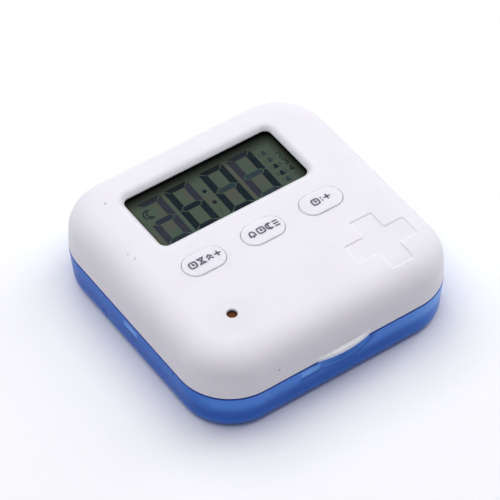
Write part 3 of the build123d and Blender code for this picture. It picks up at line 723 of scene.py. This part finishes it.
def makeLegend(button, glyphs):
    # flat strokes over the cap, lowered by (x^2 + y^2) / (2 R) to follow its crown
    low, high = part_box(button + "_button")
    crown = np.array([(low.x + high.x) / 2, (low.y + high.y) / 2])
    middle = crown + np.array(legend["nudge"][button]) * mm
    bottom, top = high.z - legend["drop"] * mm, high.z + legend["thickness"] * mm
    total = sum(width for width, strokes in glyphs) + legend["gap"] * (len(glyphs) - 1)
    cursor = -total / 2
    parts = []
    for width, strokes in glyphs:
        centre = middle + np.array([(cursor + width / 2) * mm, 0.0])
        for path, closed in strokes:
            points = np.asarray(path, float) * mm + centre
            vertices, faces = ribbon(points, legend["stroke"] * mm, bottom, top, closed)
            fromCrown = np.sum((vertices[:, :2] - crown) ** 2, axis=1)
            vertices[:, 2] -= fromCrown / (2 * legend["crownRadius"] * mm)
            parts.append((vertices, faces))
        cursor += width + legend["gap"]
    return meshPiece(button + "Legend", parts, button + "_key", legendInk)


for button, glyphs in legends.items():
    makeLegend(button, glyphs)
print("legends printed")


paleFloor = dict(colour=(0.94, 0.94, 0.945), light=(0.95, 0.95, 0.955), dark=(0.93, 0.93, 0.94),
                 roughness=0.7, grain=600.0, cloud=6.0, half=5.0)


def makeFloor(settings):
    # wide level square with faint clouding
    material, tree, shader, place = startMaterial("paleFloor", settings["colour"],
                                                  Roughness=settings["roughness"])
    grain = useGroup(tree, mouldGrain, place, Grain=settings["grain"], Cloud=settings["cloud"])
    tree.links.new(mixColour(tree, grain["Cloud"], settings["light"], settings["dark"]),
                   shader.inputs["Base Color"])
    half = settings["half"]
    corners = [(-half, -half, 0), (half, -half, 0), (half, half, 0), (-half, half, 0)]
    mesh = bpy.data.meshes.new("floor")
    mesh.from_pydata(corners, [], [(0, 1, 2, 3)])
    floor = bpy.data.objects.new("floor", mesh)
    bpy.context.scene.collection.objects.link(floor)
    mesh.materials.append(material)


# each lamp has a name, a place, a size and a power in watts
studio = dict(sky=0.17, skyColour=(0.94, 0.925, 1.14), aim=(0, 0, 0.02),
              lights=(("softTop", (-0.02, 0.2, 0.9), (1.2, 1.2), 9.15),
                      ("rear", (0.0, 0.9, 0.6), (0.7, 0.7), 1.1),
                      ("right", (0.95, 0.1, 0.3), (0.6, 0.6), 1.4),
                      ("front", (0.0, -0.95, 0.45), (0.6, 0.6), 0.2),
                      ("rightHigh", (0.8, 0.0, 0.8), (0.6, 0.6), 2.2)))


def areaLight(name, place, size, power):
    light = bpy.data.lights.new(name, "AREA")
    light.shape = "RECTANGLE"
    light.size, light.size_y = size
    light.energy = power
    lamp = bpy.data.objects.new(name, light)
    bpy.context.scene.collection.objects.link(lamp)
    lamp.location = place
    towards = Vector(studio["aim"]) - Vector(place)
    lamp.rotation_euler = towards.to_track_quat("-Z", "Y").to_euler()


def makeStudio():
    world = bpy.data.worlds.new("studio")
    bpy.context.scene.world = world
    world.use_nodes = True
    background = world.node_tree.nodes["Background"]
    background.inputs["Color"].default_value = (*studio["skyColour"], 1.0)
    background.inputs["Strength"].default_value = studio["sky"]
    for settings in studio["lights"]:
        areaLight(*settings)
    bpy.context.scene.view_settings.view_transform = "Standard"


# angles in degrees, lengths in millimetres, clip in metres
cameraSetup = dict(azimuth=-34.270, elevation=47.643, roll=-0.739, distance=812.696,
                   shift=(-1.402, 1.050), lookAt=(0, 0, 13), focalPixels=3013.699, imageWidth=500,
                   sensor=36.0, clip=(0.05, 20.0))


def makeCamera():
    # the camera stands back along its axis, and is slid sideways and up instead of being turned
    settings = cameraSetup
    turn, lift, roll = (math.radians(settings[key]) for key in ("azimuth", "elevation", "roll"))
    back = Vector((math.sin(turn) * math.cos(lift), -math.cos(turn) * math.cos(lift), math.sin(lift)))
    levelRight = Vector((math.cos(turn), math.sin(turn), 0))
    levelUp = back.cross(levelRight)
    right = levelRight * math.cos(roll) + levelUp * math.sin(roll)
    up = levelUp * math.cos(roll) - levelRight * math.sin(roll)
    slideRight, slideUp = settings["shift"]
    place = Vector(settings["lookAt"]) + right * slideRight + up * slideUp + back * settings["distance"]
    data = bpy.data.cameras.new("camera")
    data.sensor_width = settings["sensor"]
    data.lens = settings["focalPixels"] * settings["sensor"] / settings["imageWidth"]
    data.clip_start, data.clip_end = settings["clip"]
    camera = bpy.data.objects.new("camera", data)
    bpy.context.scene.collection.objects.link(camera)
    camera.matrix_world = Matrix.Translation(place * mm) @ Matrix((right, up, back)).transposed().to_4x4()
    bpy.context.scene.camera = camera


makeFloor(paleFloor)
makeStudio()
makeCamera()
print("stage ready")
